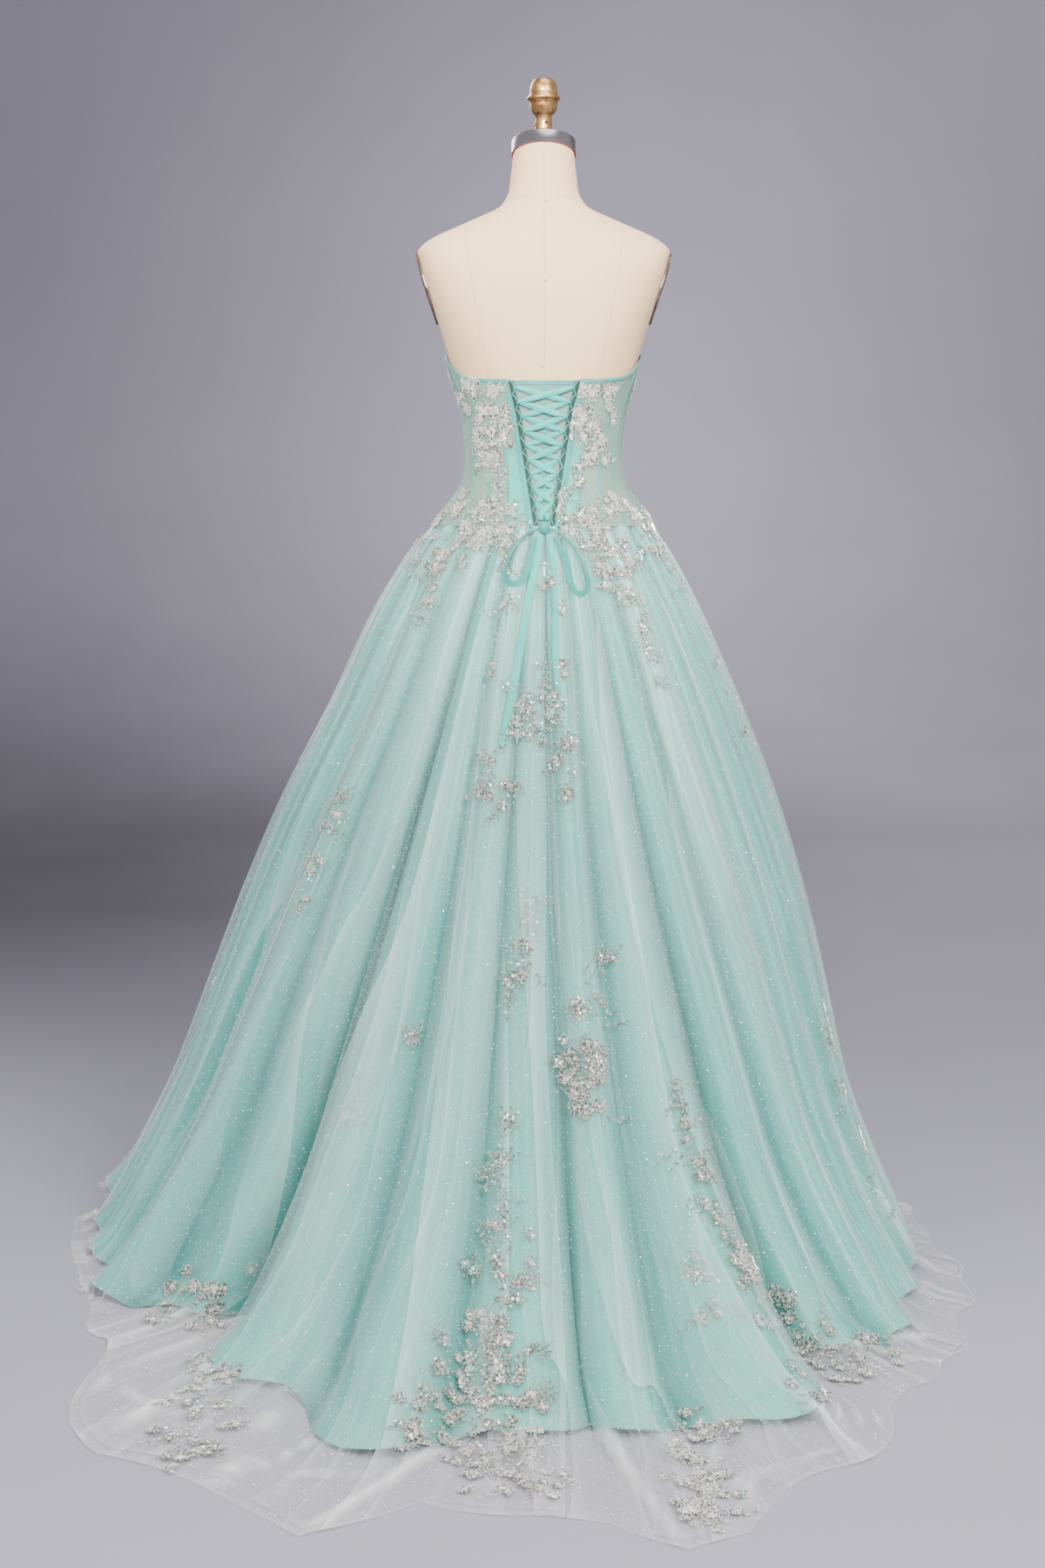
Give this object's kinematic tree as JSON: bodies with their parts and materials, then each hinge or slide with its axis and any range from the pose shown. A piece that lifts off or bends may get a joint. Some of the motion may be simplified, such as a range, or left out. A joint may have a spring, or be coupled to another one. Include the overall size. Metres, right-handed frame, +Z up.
{
  "type": "a-line prom dress on a dress form",
  "caption": "Strapless A-line gown with a laced back, glitter tulle overskirt and train, worn by a limbless canvas dress form on a round base.",
  "frame": {"origin": "centre of the stand base's underside, on the floor under the form's axis", "axes": "+Z up; +Y is the wearer's back, with the lacing and the train; +X is the wearer's left"},
  "size_m": [1.3273, 1.6596, 1.7195],
  "materials": {
    "form_canvas": "matte woven cotton canvas over a padded body",
    "steel_polished": "polished dark steel",
    "brass_aged": "aged, with dark wear",
    "plate_bronze": "dark bronze enamel",
    "stand_painted": "satin black paint",
    "mesh_sheer": "fine sheer mesh, skin and mint",
    "satin_mint": "soft satin",
    "tulle_glitter": "sheer tulle with fine silver glitter",
    "zip_metal": "mint lacquered metal"
  },
  "bodies": {
    "dress": {"form_torso": "form_canvas", "neck_ring": "steel_polished", "finial": "brass_aged", "arm_plate_left": "plate_bronze", "arm_plate_right": "plate_bronze", "stand_pole": "stand_painted", "stand_base": "stand_painted", "bodice_centre_back_left": "mesh_sheer", "bodice_centre_back_right": "mesh_sheer", "bodice_side_back_left": "mesh_sheer", "bodice_side_back_right": "mesh_sheer", "bodice_back_side_left": "mesh_sheer", "bodice_back_side_right": "mesh_sheer", "bodice_side_left": "mesh_sheer", "bodice_side_right": "mesh_sheer", "bodice_side_front_left": "mesh_sheer", "bodice_side_front_right": "mesh_sheer", "bodice_front": "mesh_sheer", "channel_back_left": "satin_mint", "channel_back_right": "satin_mint", "channel_side_back_left": "satin_mint", "channel_side_back_right": "satin_mint", "channel_back_side_left": "satin_mint", "channel_back_side_right": "satin_mint", "channel_side_left": "satin_mint", "channel_side_right": "satin_mint", "channel_princess_left": "satin_mint", "channel_princess_right": "satin_mint", "bodice_binding": "satin_mint", "placket_left": "satin_mint", "placket_right": "satin_mint", "modesty_panel": "mesh_sheer", "modesty_band": "satin_mint", "modesty_bone": "satin_mint", "loops_left": "satin_mint", "loops_right": "satin_mint", "lacing_under": "satin_mint", "lacing_over": "satin_mint", "lining_back_left": "satin_mint", "lining_front": "satin_mint", "lining_back_right": "satin_mint", "tulle_back_left": "tulle_glitter", "tulle_front": "tulle_glitter", "tulle_back_right": "tulle_glitter", "bow_knot": "satin_mint", "bow_loop_left": "satin_mint", "bow_loop_right": "satin_mint", "bow_tail_long": "satin_mint", "bow_tail_short": "satin_mint", "zip_slider": "zip_metal"},
    "zip_pull": {"zip_pull_tab": "zip_metal"}
  },
  "joints": [
    {"name": "zip_pull_swing", "type": "hinge", "parent": "dress", "child": "zip_pull", "pos_m": [0, 0.16252, 1.01392], "axis": [1, 0, 0], "range_deg": [0, 150]}
  ]
}
